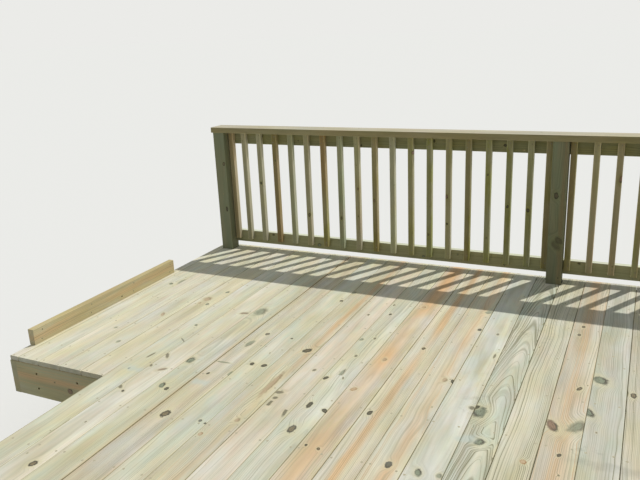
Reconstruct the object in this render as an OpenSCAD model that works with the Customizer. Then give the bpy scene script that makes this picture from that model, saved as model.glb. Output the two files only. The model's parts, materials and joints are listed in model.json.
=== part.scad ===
// Raised wooden deck with a guard on three sides. Its left side carries ledgers and steps
// outwards at the far end. Lengths are in millimetres. Each guard post runs from the ground
// to the underside of the cap.
// Plan frame of the modules: X from the recess's back towards the right edge, Y from the
// near edge towards the far edge, Z up from the ground.

/* [Plan] */
// Height of the walking surface above the ground
deck_h = 650; // [500:10:1200]
// Centre distance of the guard posts along the far and near sides
post_pitch_x = 2356; // [1800:1:2440]
// Centre distance of the guard posts along the right side
post_pitch_y = 2356; // [2000:1:2440]
// Distance from the recess's back to the first far guard post
left_to_post = 52; // [40:1:160]
// Depth of the recess along X
recess_x = 592; // [450:1:900]
// Distance from the near edge to the recess
recess_y = 2807; // [2200:1:3200]

/* [Decking] */
// Width of a deck board
board_w = 140; // [88:1:184]
// Thickness of a deck board
board_t = 25; // [19:1:38]
// Gap between two deck boards
board_gap = 3; // [2:0.5:8]
// Gap between the boards and the planes behind the ledgers
end_gap = 3; // [1:0.5:12]
// Clearance of a board cut round a post
cut_gap = 3; // [1:0.5:8]
// Radius of the eased long edges of a deck board
board_ease = 4; // [1:0.5:6]

/* [Framing] */
// Thickness of the joists
joist_t = 38; // [32:1:45]
// Depth of the joists, rims and ledgers
joist_d = 184; // [140:1:235]
// Largest centre distance of the joists
joist_max = 406; // [300:1:610]
// Thickness of the rims
rim_t = 38; // [32:1:45]
// Thickness of the ledgers
ledger_t = 38; // [32:1:45]
// Thickness of one ply of a beam
ply_t = 38; // [32:1:45]
// Depth of a beam
beam_d = 184; // [140:1:235]
// Radius of the eased long edges of the framing lumber
ease = 3; // [1:0.5:5]

/* [Ledger bolts] */
// Radius of the bolt holes in the ledgers
bolt_r = 6.5; // [5:0.5:10]
// Distance of each row of bolt holes from the ledger's edge
bolt_edge = 50; // [40:1:60]

/* [Joist hangers] */
// Thickness of the folded sheet
sheet_t = 1.5; // [1:0.5:3]
// Height of a hanger's cheeks
hanger_h = 130; // [90:1:135]
// Length of a hanger's seat along the joist
hanger_l = 48; // [35:1:60]
// Width of each flange on the ledger
flange_w = 32; // [20:1:40]

/* [Guard] */
// Height of the cap's top above the deck
guard_h = 914; // [860:1:1100]
// Width of a square post
post_w = 89; // [80:1:140]
// Thickness of a rail
rail_t = 38; // [32:1:45]
// Depth of a rail on its edge
rail_d = 89; // [80:1:140]
// Gap below the bottom rail
rail_gap = 42; // [25:1:90]
// Width of a square baluster
baluster_w = 35; // [30:1:42]
// Centre distance of the balusters, apart from the last space at each post
baluster_pitch = 125.5; // [100:0.5:138]
// Gap between a post and the baluster beside it
baluster_gap = 6; // [0:1:20]
// Height of the balusters' lower ends above the bottom rail's lower edge
baluster_foot = 33; // [0:1:50]
// Width of the cap
cap_w = 140; // [134:1:235]
// Thickness of the cap
cap_t = 38; // [25:1:45]
// Overhang of the cap beyond the outer face of the rails
cap_out = 6; // [0:1:40]
// Overhang of the cap past its last post
cap_end = 10; // [0:1:40]

/* [Sill board] */
// Length of the sill board
sill_l = 1220; // [800:1:1300]
// Thickness of the sill board
sill_t = 38; // [25:1:45]
// Height of the sill board
sill_h = 89; // [60:1:140]
// Distance from the far edge to the sill board's far end
sill_far = 712; // [200:1:720]

/* [Hidden] */
// Flats in each eased corner
ease_steps = 2;
// Plan size of the deck, from its post bays
deck_w = left_to_post + 2 * post_pitch_x + post_w + rim_t;
deck_d = 2 * rim_t + 2 * post_pitch_y + post_w;
// Inner faces of the rims
rim_x = deck_w - rim_t;
rim_y = deck_d - rim_t;
// Levels
joist_top = deck_h - board_t;
joist_z = joist_top - joist_d;
beam_z = joist_z - beam_d;
cap_z = deck_h + guard_h - cap_t;
rail_low = deck_h + rail_gap;
rail_high = cap_z - rail_d;
// Post corners along X and Y
post_x = [for (i = [0:2]) left_to_post + i * post_pitch_x];
post_y = [for (i = [0:2]) rim_t + i * post_pitch_y];
// Outer faces of the posts, where the rails are fixed
post_out_x = post_x[2] + post_w;
post_out_y = post_y[2] + post_w;
// Joists: an odd number of spaces keeps the middle post between two joists
joist_spaces = 2 * ceil((deck_d - rim_t) / (2 * joist_max)) + 1;
joist_pitch = (deck_d - rim_t) / joist_spaces;
first_far_joist = ceil((recess_y + ledger_t + (joist_t - rim_t) / 2) / joist_pitch);
// Boards: the first full-length one starts at the front ledger's face
board_pitch = board_w + board_gap;
first_board_x = recess_x + ledger_t + board_gap / 2;
recess_boards = ceil((first_board_x - end_gap) / board_pitch);
long_boards = ceil((deck_w - first_board_x) / board_pitch);
board_group = ceil(long_boards / 3);
// The near side's first post is centred on a gap, so that it notches two boards alike
near_post_x = first_board_x + board_w + board_gap / 2 - post_w / 2;
// Cap corner planes
cap_in_x = deck_w + cap_out - cap_w;
cap_in_y = deck_d + cap_out - cap_w;

// Colours of the new treated pine
deck_colour = [0.84, 0.79, 0.62];
frame_colour = [0.66, 0.62, 0.42];
post_colour = [0.55, 0.55, 0.40];
rail_colour = [0.58, 0.55, 0.38];
cap_colour = [0.86, 0.82, 0.68];

// Moves the plan frame to the middle of the outline, on the ground
module centred() {
    translate([-(deck_w + cap_out) / 2, -deck_d / 2, 0]) children();
}

// Cross-section of a planed board, w along X and t along Y, with eased corners
module section(w, t, r) {
    polygon([
        for (corner = [0:3], step = [0:ease_steps])
            let (
                turn = 90 * (corner + step / ease_steps),
                cx = (corner == 0 || corner == 3) ? w - r : r,
                cy = (corner < 2) ? t - r : r
            )
            [cx + r * cos(turn), cy + r * sin(turn)]
    ]);
}

// Boards from their low corner, named by the axis that their length follows
module bar_x(corner, l, dy, dz, r = ease) {
    translate(corner) rotate([90, 0, 90]) linear_extrude(l) section(dy, dz, r);
}
module bar_y(corner, l, dx, dz, r = ease) {
    translate(corner + [0, l, 0]) rotate([90, 0, 0]) linear_extrude(l) section(dx, dz, r);
}
module bar_z(corner, l, dx, dy, r = ease) {
    translate(corner) linear_extrude(l) section(dx, dy, r);
}

// Guard posts

// One guard post, standing on the ground
module guard_post(x, y) {
    color(post_colour) centred() bar_z([x, y, 0], cap_z, post_w, post_w);
}

module post_far_left() { guard_post(post_x[0], post_y[2]); }
module post_far_middle() { guard_post(post_x[1], post_y[2]); }
module post_far_right() { guard_post(post_x[2], post_y[2]); }
module post_right_middle() { guard_post(post_x[2], post_y[1]); }
module post_near_right() { guard_post(post_x[2], post_y[0]); }
module post_near_middle() { guard_post(post_x[1], post_y[0]); }
module post_near_left() { guard_post(near_post_x, post_y[0]); }

// Rails, on the outer faces of the posts

// The far rail closes both corners, so it runs to the deck's right edge
module rail_far(z) {
    color(rail_colour) centred()
        bar_x([post_x[0], post_out_y, z], deck_w - post_x[0], rail_t, rail_d);
}
module rail_right(z) {
    color(rail_colour) centred()
        bar_y([post_out_x, post_y[0], z], post_out_y - post_y[0], rail_t, rail_d);
}
module rail_near(z) {
    color(rail_colour) centred()
        bar_x([near_post_x, post_y[0] - rail_t, z], deck_w - near_post_x, rail_t, rail_d);
}

module top_rail_far() { rail_far(rail_high); }
module top_rail_right() { rail_right(rail_high); }
module top_rail_near() { rail_near(rail_high); }
module bottom_rail_far() { rail_far(rail_low); }
module bottom_rail_right() { rail_right(rail_low); }
module bottom_rail_near() { rail_near(rail_low); }

// Caps, flat on the posts and the top rails, with mitred corners

// The part of the plan on one side of a corner's mitre line, from level z up
module mitre_keep(z, tall, outline) {
    translate([0, 0, z - 1]) linear_extrude(tall + 2) polygon(outline);
}

module cap_far() {
    start = post_x[0] - cap_end;
    color(cap_colour) centred() intersection() {
        bar_x([start, cap_in_y, cap_z], deck_w + cap_out - start, cap_w, cap_t);
        mitre_keep(cap_z, cap_t, [
            [start - 1, cap_in_y],
            [cap_in_x, cap_in_y],
            [deck_w + cap_out, deck_d + cap_out],
            [start - 1, deck_d + cap_out]
        ]);
    }
}
module cap_right() {
    color(cap_colour) centred() intersection() {
        bar_y([cap_in_x, -cap_out, cap_z], deck_d + 2 * cap_out, cap_w, cap_t);
        mitre_keep(cap_z, cap_t, [
            [cap_in_x, cap_w - cap_out],
            [deck_w + cap_out, -cap_out],
            [deck_w + cap_out, deck_d + cap_out],
            [cap_in_x, cap_in_y]
        ]);
    }
}
module cap_near() {
    start = near_post_x - cap_end;
    color(cap_colour) centred() intersection() {
        bar_x([start, -cap_out, cap_z], deck_w + cap_out - start, cap_w, cap_t);
        mitre_keep(cap_z, cap_t, [
            [start - 1, -cap_out],
            [deck_w + cap_out, -cap_out],
            [cap_in_x, cap_w - cap_out],
            [start - 1, cap_w - cap_out]
        ]);
    }
}

// Balusters, between the posts on the inner faces of the rails

// Places of a bay's balusters: one beside each post, and the others evenly spaced, either about
// the middle of the bay or onwards from the baluster beside its first post
function places(clear, onwards = false) =
    let (
        free = clear - baluster_w,
        last = free - baluster_gap,
        between = onwards
            ? floor((last - 2 * baluster_gap - baluster_w) / baluster_pitch)
            : ceil(free / baluster_pitch) - 1,
        first = onwards
            ? baluster_gap + baluster_pitch
            : (free - (between - 1) * baluster_pitch) / 2
    )
    concat(
        [baluster_gap],
        [for (i = [0:between - 1]) first + i * baluster_pitch],
        [last]
    );

// One baluster, from its foot on the bottom rail to the cap
module baluster(x, y) {
    foot = rail_low + baluster_foot;
    bar_z([x, y, foot], cap_z - foot, baluster_w, baluster_w);
}

// Bays along X and Y from their first post's face, their low balusters' corner on the other axis
module bay_x(x, clear, y, onwards = false) {
    color(rail_colour) centred() for (s = places(clear, onwards)) baluster(x + s, y);
}
module bay_y(y, clear, x) {
    color(rail_colour) centred() for (s = places(clear)) baluster(x, y + s);
}

clear_x = post_pitch_x - post_w;
clear_y = post_pitch_y - post_w;

module balusters_far_left() { bay_x(post_x[0] + post_w, clear_x, post_out_y - baluster_w); }
module balusters_far_right() {
    bay_x(post_x[1] + post_w, clear_x, post_out_y - baluster_w, onwards = true);
}
module balusters_right_far() { bay_y(post_y[1] + post_w, clear_y, post_out_x - baluster_w); }
module balusters_right_near() { bay_y(post_y[0] + post_w, clear_y, post_out_x - baluster_w); }
module balusters_near_right() { bay_x(post_x[1] + post_w, clear_x, post_y[0]); }
module balusters_near_left() {
    start = near_post_x + post_w;
    bay_x(start, post_x[1] - start, post_y[0]);
}

// Decking, along Y

// Room for one post through the boards
module post_cut(x, y) {
    translate([x - cut_gap, y - cut_gap, joist_top - 1])
        cube([post_w + 2 * cut_gap, post_w + 2 * cut_gap, board_t + 2]);
}
module post_cuts() {
    for (x = post_x) post_cut(x, post_y[2]);
    for (y = [post_y[0], post_y[1]]) post_cut(post_x[2], y);
    for (x = [near_post_x, post_x[1]]) post_cut(x, post_y[0]);
}

// Boards first to last, counted from the front ledger and ripped at the outer edges
module boards(first, last, y) {
    color(deck_colour) centred() difference() {
        for (i = [first:last]) {
            x = max(first_board_x + i * board_pitch, end_gap);
            x_end = min(first_board_x + i * board_pitch + board_w, deck_w);
            bar_y([x, y, joist_top], deck_d - y, x_end - x, board_t, board_ease);
        }
        post_cuts();
    }
}

module decking_recess() { boards(-recess_boards, -1, recess_y + end_gap); }
module decking_left() { boards(0, board_group - 1, 0); }
module decking_middle() { boards(board_group, 2 * board_group - 1, 0); }
module decking_right() { boards(2 * board_group, long_boards - 1, 0); }

// Joists, along X, from the ledgers to the right rim

// Middle of a joist along Y, counted from the near rim
function joist_y(k) = rim_t / 2 + k * joist_pitch;

module joists(first, last, x) {
    color(frame_colour) centred()
        for (k = [first:last])
            bar_x([x, joist_y(k) - joist_t / 2, joist_z], rim_x - x, joist_t, joist_d);
}

module joists_far() { joists(first_far_joist, joist_spaces - 1, ledger_t); }
module joists_near() { joists(1, first_far_joist - 1, recess_x + ledger_t); }

// One folded sheet hanger round a joist's end, its flanges on the ledger's face at x
module hanger(x, y) {
    half = joist_t / 2;
    for (side = [0, 1]) translate([x, y, 0]) mirror([0, side, 0]) {
        translate([0, half, joist_z - sheet_t]) cube([hanger_l, sheet_t, hanger_h + sheet_t]);
        translate([0, half, joist_z]) cube([sheet_t, flange_w, hanger_h]);
    }
    translate([x, y - half, joist_z - sheet_t]) cube([hanger_l, joist_t, sheet_t]);
}
module hangers(first, last, x) {
    color("silver") centred() for (k = [first:last]) hanger(x, joist_y(k));
}

module hangers_far() { hangers(first_far_joist, joist_spaces - 1, ledger_t); }
module hangers_near() { hangers(1, first_far_joist - 1, recess_x + ledger_t); }

// Rims, round the three open sides

module rim_far() {
    color(frame_colour) centred() bar_x([0, rim_y, joist_z], rim_x, rim_t, joist_d);
}
module rim_right() {
    color(frame_colour) centred() bar_y([rim_x, 0, joist_z], deck_d, rim_t, joist_d);
}
module rim_near() {
    color(frame_colour) centred()
        bar_x([recess_x, 0, joist_z], rim_x - recess_x, rim_t, joist_d);
}

// Ledgers, with their holes for the fixing bolts

// Two bolt holes, one above the other, along X through a ledger whose back is at x
module bolt_pair_x(x, y) {
    for (z = [joist_z + bolt_edge, joist_top - bolt_edge])
        translate([x - 1, y, z]) rotate([0, 90, 0])
            cylinder(h = ledger_t + 2, r = bolt_r, $fn = 32);
}
module bolt_pair_y(x, y) {
    for (z = [joist_z + bolt_edge, joist_top - bolt_edge])
        translate([x, y - 1, z]) rotate([-90, 0, 0])
            cylinder(h = ledger_t + 2, r = bolt_r, $fn = 32);
}

module ledger_back() {
    color(frame_colour) centred() difference() {
        bar_y([0, recess_y, joist_z], rim_y - recess_y, ledger_t, joist_d);
        for (k = [first_far_joist:joist_spaces - 2]) bolt_pair_x(0, joist_y(k + 0.5));
    }
}
// The side and front ledgers meet in a mitre, so that each lies flat over its whole face
module ledger_side() {
    run = recess_x - ledger_t;
    color(frame_colour) centred() difference() {
        intersection() {
            bar_x([ledger_t, recess_y, joist_z], recess_x, ledger_t, joist_d);
            mitre_keep(joist_z, joist_d, [
                [0, recess_y - 1],
                [recess_x - 1, recess_y - 1],
                [recess_x + ledger_t + 1, recess_y + ledger_t + 1],
                [0, recess_y + ledger_t + 1]
            ]);
        }
        for (part = [0.25, 0.75]) bolt_pair_y(ledger_t + part * run, recess_y);
    }
}
module ledger_front() {
    color(frame_colour) centred() difference() {
        intersection() {
            bar_y([recess_x, rim_t, joist_z], recess_y + ledger_t - rim_t, ledger_t, joist_d);
            mitre_keep(joist_z, joist_d, [
                [recess_x - 1, 0],
                [recess_x + ledger_t + 1, 0],
                [recess_x + ledger_t + 1, recess_y + ledger_t + 1],
                [recess_x - 1, recess_y - 1]
            ]);
        }
        for (k = [1:first_far_joist - 2]) bolt_pair_x(recess_x, joist_y(k + 0.5));
    }
}

// Beams, two plies each, under the joists and against the posts' inner faces

// One ply, counted from the post
module beam_ply(x, ply) {
    color(frame_colour) centred()
        bar_y([x - (ply + 1) * ply_t, 0, beam_z], deck_d, ply_t, beam_d);
}

module beam_middle_inner() { beam_ply(post_x[1], 0); }
module beam_middle_outer() { beam_ply(post_x[1], 1); }
module beam_right_inner() { beam_ply(post_x[2], 0); }
module beam_right_outer() { beam_ply(post_x[2], 1); }

// Short post under the middle of the middle beam
module support_post() {
    x = post_x[1] - ply_t - post_w / 2;
    color(frame_colour) centred() bar_z([x, post_y[1], 0], beam_z, post_w, post_w);
}

// Sill board, on its edge on the boards at the back of the recess
module sill_board() {
    color(deck_colour) centred()
        bar_y([0, deck_d - sill_far - sill_l, deck_h], sill_l, sill_t, sill_h);
}

post_far_left();
post_far_middle();
post_far_right();
post_right_middle();
post_near_right();
post_near_middle();
post_near_left();
top_rail_far();
top_rail_right();
top_rail_near();
bottom_rail_far();
bottom_rail_right();
bottom_rail_near();
cap_far();
cap_right();
cap_near();
balusters_far_left();
balusters_far_right();
balusters_right_far();
balusters_right_near();
balusters_near_right();
balusters_near_left();
decking_recess();
decking_left();
decking_middle();
decking_right();
joists_far();
joists_near();
hangers_far();
hangers_near();
rim_far();
rim_right();
rim_near();
ledger_back();
ledger_side();
ledger_front();
beam_middle_inner();
beam_middle_outer();
beam_right_inner();
beam_right_outer();
support_post();
sill_board();
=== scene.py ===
import json
from math import pi, radians
from random import Random

import bmesh
import bpy
from mathutils import Euler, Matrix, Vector


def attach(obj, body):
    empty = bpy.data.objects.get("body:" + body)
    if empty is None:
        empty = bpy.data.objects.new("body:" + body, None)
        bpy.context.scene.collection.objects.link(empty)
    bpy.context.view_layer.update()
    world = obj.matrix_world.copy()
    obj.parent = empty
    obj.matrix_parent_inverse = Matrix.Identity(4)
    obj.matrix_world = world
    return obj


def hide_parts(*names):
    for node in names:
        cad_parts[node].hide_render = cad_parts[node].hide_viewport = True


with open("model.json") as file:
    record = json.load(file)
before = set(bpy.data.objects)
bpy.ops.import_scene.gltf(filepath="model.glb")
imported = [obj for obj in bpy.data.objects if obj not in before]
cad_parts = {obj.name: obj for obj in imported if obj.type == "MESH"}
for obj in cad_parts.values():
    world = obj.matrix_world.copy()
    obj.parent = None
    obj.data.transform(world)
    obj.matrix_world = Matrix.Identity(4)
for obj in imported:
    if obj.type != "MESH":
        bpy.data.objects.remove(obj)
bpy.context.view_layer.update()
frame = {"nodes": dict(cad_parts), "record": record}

# Raised deck of new treated pine with a guard on three sides. Every wooden solid of the frame
# is dressed as a piece of lumber with its own grain, and the fasteners are added to it.

# Camera, from the photograph's vanishing lines
IMAGE_WIDTH = 640
SENSOR = 36.0
FOCAL_PIXELS = 684.5
CAMERA_PLACE = (0.4584, -1.8340, 2.1882)
CAMERA_TURN, CAMERA_TILT, CAMERA_ROLL = 26.09, 16.87, -2.56
VIEW_END = 1500

# Surroundings and light
FLOOR_REACH = 400.0
FLOOR_COLOUR = (0.80, 0.80, 0.79)
SEEN_COLOUR = (0.831, 0.831, 0.807)
FILL_COLOUR = (0.90, 0.96, 1.0)
FILL_LEVEL = 0.37
KEY_COLOUR = (1.0, 0.975, 0.925)
KEY_LEVEL = 2.67
KEY_WAY = (-0.28, -0.487, -0.829)
KEY_SPREAD = 0.9
KEY_PLACE = (3.0, 5.0, 8.0)


# Node trees

def operators(operation):
    """A sum with a value on its left, and the same sum with the value on its right."""
    return (lambda value, other: value.graph.math(operation, value, other),
            lambda value, other: value.graph.math(operation, other, value))


class Value:
    """A node's output. Plain sums with it add Math nodes to its tree."""

    def __init__(self, graph, socket):
        self.graph, self.socket = graph, socket

    __add__, __radd__ = operators("ADD")
    __sub__, __rsub__ = operators("SUBTRACT")
    __mul__, __rmul__ = operators("MULTIPLY")
    __truediv__, __rtruediv__ = operators("DIVIDE")
    __pow__ = operators("POWER")[0]

    def __abs__(self):
        return self.graph.math("ABSOLUTE", self)


class Node:
    """A node in a tree: its outputs are read by name, and its inputs are set by name."""

    def __init__(self, graph, node):
        self.graph, self.node = graph, node

    def __getitem__(self, name):
        return Value(self.graph, self.node.outputs[name])

    def __setitem__(self, name, value):
        if isinstance(value, Value):
            self.graph.tree.links.new(value.socket, self.node.inputs[name])
        else:
            self.node.inputs[name].default_value = value


class Graph:
    """Adds nodes to a tree. Any input may be a plain value or another node's output."""

    def __init__(self, tree):
        self.tree = tree

    def add(self, kind, inputs=(), **settings):
        node = self.tree.nodes.new(kind)
        for name, value in settings.items():
            setattr(node, name, value)
        placed = Node(self, node)
        for name, value in inputs.items() if isinstance(inputs, dict) else enumerate(inputs):
            placed[name] = value
        return placed

    def group(self, name, inputs):
        return self.add("ShaderNodeGroup", inputs, node_tree=GROUPS[name])

    def math(self, operation, *values, clamp=False):
        return self.add("ShaderNodeMath", values, operation=operation, use_clamp=clamp)[0]

    def most(self, first, *others):
        """The largest of some values."""
        for other in others:
            first = self.math("MAXIMUM", first, other)
        return first

    def vector(self, operation, *values):
        return self.add("ShaderNodeVectorMath", values, operation=operation)[0]

    def split(self, vector):
        parts = self.add("ShaderNodeSeparateXYZ", [vector])
        return parts[0], parts[1], parts[2]

    def join(self, x=0.0, y=0.0, z=0.0):
        return self.add("ShaderNodeCombineXYZ", [x, y, z])[0]

    def length(self, x, y, z=0.0):
        return self.add("ShaderNodeVectorMath", [self.join(x, y, z)], operation="LENGTH")[1]

    def noise(self, at, scale=1.0, detail=2.0, seed=None, rough=0.5):
        inputs = {"Vector": at, "Scale": scale, "Detail": detail, "Roughness": rough}
        if seed is None:
            return self.add("ShaderNodeTexNoise", inputs)[0]
        return self.add("ShaderNodeTexNoise", inputs | {"W": seed}, noise_dimensions="4D")[0]

    def drawn_out(self, at, along, across, detail, seed, rough=0.5):
        """Noise that is drawn out along a board."""
        return self.noise(self.vector("MULTIPLY", at, (along, across, across)), 1.0, detail, seed, rough)

    def wander(self, along, scale, start, detail, seed):
        """Noise that changes only along a board."""
        return self.noise(self.join(along * scale, start), 1.0, detail, seed)

    def chances(self, x, y, z, seed):
        """Three random numbers for a place."""
        return self.split(self.add("ShaderNodeTexWhiteNoise", {"Vector": self.join(x, y, z), "W": seed},
                                   noise_dimensions="4D")["Color"])

    def between(self, value, low, high, to_low=0.0, to_high=1.0):
        """Turns low to high smoothly into to_low to to_high."""
        return self.add("ShaderNodeMapRange", [value, low, high, to_low, to_high],
                        interpolation_type="SMOOTHSTEP")[0]

    def fade(self, value, low, high):
        """One below low, nought above high."""
        return self.between(value, low, high, 1.0, 0.0)

    def mix(self, amount, first, second, blend="MIX"):
        return self.add("ShaderNodeMix", {0: amount, 6: first, 7: second},
                        data_type="RGBA", blend_type=blend)[2]

    def shaded(self, colour, shade):
        """A colour made lighter or darker."""
        return self.mix(1.0, colour, self.join(shade, shade, shade), "MULTIPLY")

    def ramp(self, value, stops):
        """The colour at a value between stops, each a place from 0 to 1 and its colour."""
        ramp = self.add("ShaderNodeValToRGB", [value])
        elements = ramp.node.color_ramp.elements
        for k, (place, tint) in enumerate(stops):
            element = elements[k] if k < 2 else elements.new(place)
            element.position, element.color = place, (*tint, 1)
        return ramp[0]


GROUPS = {}
SOCKET_KINDS = {"": "Float", "vector": "Vector", "colour": "Color", "geometry": "Geometry",
                "whole": "Int", "material": "Material"}


def new_group(name, inputs, outputs, family="Shader"):
    """A group with sockets listed as "At:vector, Seed". Gives its graph, inputs and outputs."""
    tree = GROUPS[name] = bpy.data.node_groups.new(name, family + "NodeTree")
    for way, listing in (("INPUT", inputs), ("OUTPUT", outputs)):
        for entry in listing.split(", "):
            socket, _, kind = entry.partition(":")
            tree.interface.new_socket(socket, in_out=way, socket_type="NodeSocket" + SOCKET_KINDS[kind])
    g = Graph(tree)
    return g, g.add("NodeGroupInput"), g.add("NodeGroupOutput")


# Effects shared by the wood finishes. A board's own frame is At: X along the grain, Y across
# the board and Z through it, in metres from its middle. Dice are its three random numbers.

def placed_knot_group():
    """The knot that a stretch of a board carries, as a wavering oval."""
    g, get, put = new_group("Placed knot", "At:vector, Knot:vector, Form:vector, Seed",
                            "Distance, Swell, Tone, Faint, Bearing:vector")
    along, across = g.split(get["At"])[:2]
    knot_along, knot_across, size = g.split(get["Knot"])
    kind, turn, stretch = g.split(get["Form"])
    off_along = along - knot_along
    off_across = across - knot_across
    cos, sin = g.math("COSINE", turn), g.math("SINE", turn)
    run = (off_along * cos + off_across * sin) / stretch
    side = off_across * cos - off_along * sin
    wobble = g.noise(get["At"], 55.0, 3.0, get["Seed"], 0.6)
    even = g.length(run, side) / g.most(size, 0.00001)
    put["Distance"] = even * (0.50 + wobble)
    put["Swell"] = g.fade(even, 0.4, 3.4) * size
    put["Tone"] = g.math("FRACT", kind)
    put["Faint"] = g.math("FLOOR", kind)
    put["Bearing"] = g.join(run, side, size)


def pin_knots_group():
    """One possible pin knot in each stretch of a board."""
    g, get, put = new_group(
        "Pin knots", "At:vector, Dice:vector, Stretch, Least, Largest, Chance, Width, Slant",
        "Distance, Swell, Tone, Bearing:vector")
    along, across = g.split(get["At"])[:2]
    dice_a, dice_b, dice_c = g.split(get["Dice"])
    run = along / get["Stretch"] + dice_a * 37.0
    cell = g.math("FLOOR", run)
    roll_a, roll_b, roll_c = g.chances(cell, dice_b, dice_c, 1.0)
    roll_d, roll_e, roll_f = g.chances(cell, dice_c, dice_b, 2.0)
    off_along = (g.math("FRACT", run) - (0.2 + roll_a * 0.6)) * get["Stretch"]
    off_across = across - (roll_b - 0.5) * get["Width"]
    off_along = off_along + off_across * ((roll_f - 0.5) * get["Slant"])
    size = get["Least"] + roll_c ** 2.2 * (get["Largest"] - get["Least"])
    wobble = g.noise(get["At"], 48.0, 2.0, dice_a * 9.0)
    missing = g.math("GREATER_THAN", roll_d, get["Chance"]) * 1000.0
    even = g.length(off_along * (0.58 + roll_f * 0.30), off_across) / size + missing
    put["Distance"] = even * (0.70 + wobble * 0.60)
    put["Swell"] = g.fade(even, 0.4, 3.4) * size
    put["Tone"] = roll_e
    put["Bearing"] = g.join(off_along, off_across, size)


def growth_rings_group():
    """Growth rings of the log round its pith, which runs aslant beside the board."""
    g, get, put = new_group(
        "Growth rings", "At:vector, Dice:vector, Ring width, Slope, Push", "Late wood, Year, Fine")
    along, across, deep = g.split(get["At"])
    dice_a, dice_b, dice_c = g.split(get["Dice"])
    seed = dice_a * 61.0
    pith_y = (dice_b - 0.5) * 0.19
    pith_z = -0.035 - dice_c * 0.10
    drift = (g.wander(along, 0.8, 0.0, 2.0, seed) - 0.5) * 0.045
    drift = drift + (g.wander(along, 4.2, 7.0, 1.0, seed) - 0.5) * 0.016
    from_y = across - pith_y + drift
    from_z = deep - pith_z + along * get["Slope"]
    from_z = from_z + (g.wander(along, 1.7, 3.0, 1.0, seed) - 0.5) * 0.022
    waves = (g.drawn_out(get["At"], 4.0, 14.0, 2.0, seed) - 0.5) * 0.005
    radius = g.length(0.0, from_y, from_z) + waves + get["Push"]
    # Rings differ in width from year to year
    radius = radius + g.noise(g.join(radius * 45.0, dice_b), 1.0, 1.0, seed) * 0.005
    count = radius / get["Ring width"]
    # The saw meets the rings at a slant, which spreads them over the face
    steep = abs(from_y) / radius
    slant = g.math("SQRT", g.most(steep, 0.03))
    off_line = (1.0 - g.math("FRACT", count)) / slant
    line = g.fade(off_line, 0.10, 0.52)
    glow = g.fade(off_line, 0.1, 1.3) * g.between(slant, 0.25, 0.70, 0.06, 0.32)
    year = g.chances(g.math("FLOOR", count), dice_b, dice_c, 3.0)[0]
    strength = (0.28 + year ** 1.4 * 0.72) * g.between(steep, 0.04, 0.34, 0.34, 1.0)
    fine = g.noise(g.join(along * 1.5, radius * 240.0), 1.0, 2.0, seed)
    put["Late wood"] = g.most(line, glow) * strength
    put["Year"] = year
    put["Fine"] = g.between(fine, 0.48, 0.74)


def tint_patches_group():
    """Soft patches of tint drawn out along the grain."""
    g, get, put = new_group("Tint patches", "At:vector, Dice:vector, Length, Breadth, Seed, Cover", "Mask")
    along, across, deep = g.split(get["At"])
    at = g.join(along / get["Length"], across / get["Breadth"], deep / get["Breadth"])
    seed = get["Seed"] + g.split(get["Dice"])[0] * 83.0
    low = 0.68 - get["Cover"] * 0.40
    put["Mask"] = g.between(g.noise(at, 1.0, 3.0, seed, 0.55), low, low + 0.17)


def board_edges_group():
    """Where the rounded long edges and the sawn ends of a board are, and its narrow sides. The edges carry
    a painted highlight, and the narrow sides painted highlight and shade.
    """
    g, get, put = new_group("Board edges", "At:vector, Half:vector, Reach", "Edge, End, Narrow")
    along, across, deep = g.split(g.vector("SUBTRACT", get["Half"], g.vector("ABSOLUTE", get["At"])))
    reach = get["Reach"] * (0.4 + g.noise(get["At"], 60.0, 3.0, 0.0))
    edge = g.between(g.most(across, deep), 0.0, reach)
    put["Edge"] = g.math("SUBTRACT", 1.0, edge, clamp=True)
    put["End"] = g.math("LESS_THAN", along, 0.0004)
    put["Narrow"] = g.fade(across, 0.0004, 0.0022)


# The colours of a knot's middle by its tone, from dark through brown, green and red to amber
KNOT_TINTS = (
    (0.00, (0.080, 0.073, 0.043)), (0.30, (0.160, 0.127, 0.068)), (0.42, (0.230, 0.175, 0.095)),
    (0.52, (0.195, 0.232, 0.160)), (0.66, (0.255, 0.295, 0.205)), (0.76, (0.250, 0.150, 0.098)),
    (0.90, (0.560, 0.420, 0.265)))
AMBER_RIM = (0.330, 0.180, 0.070, 1)


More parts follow.
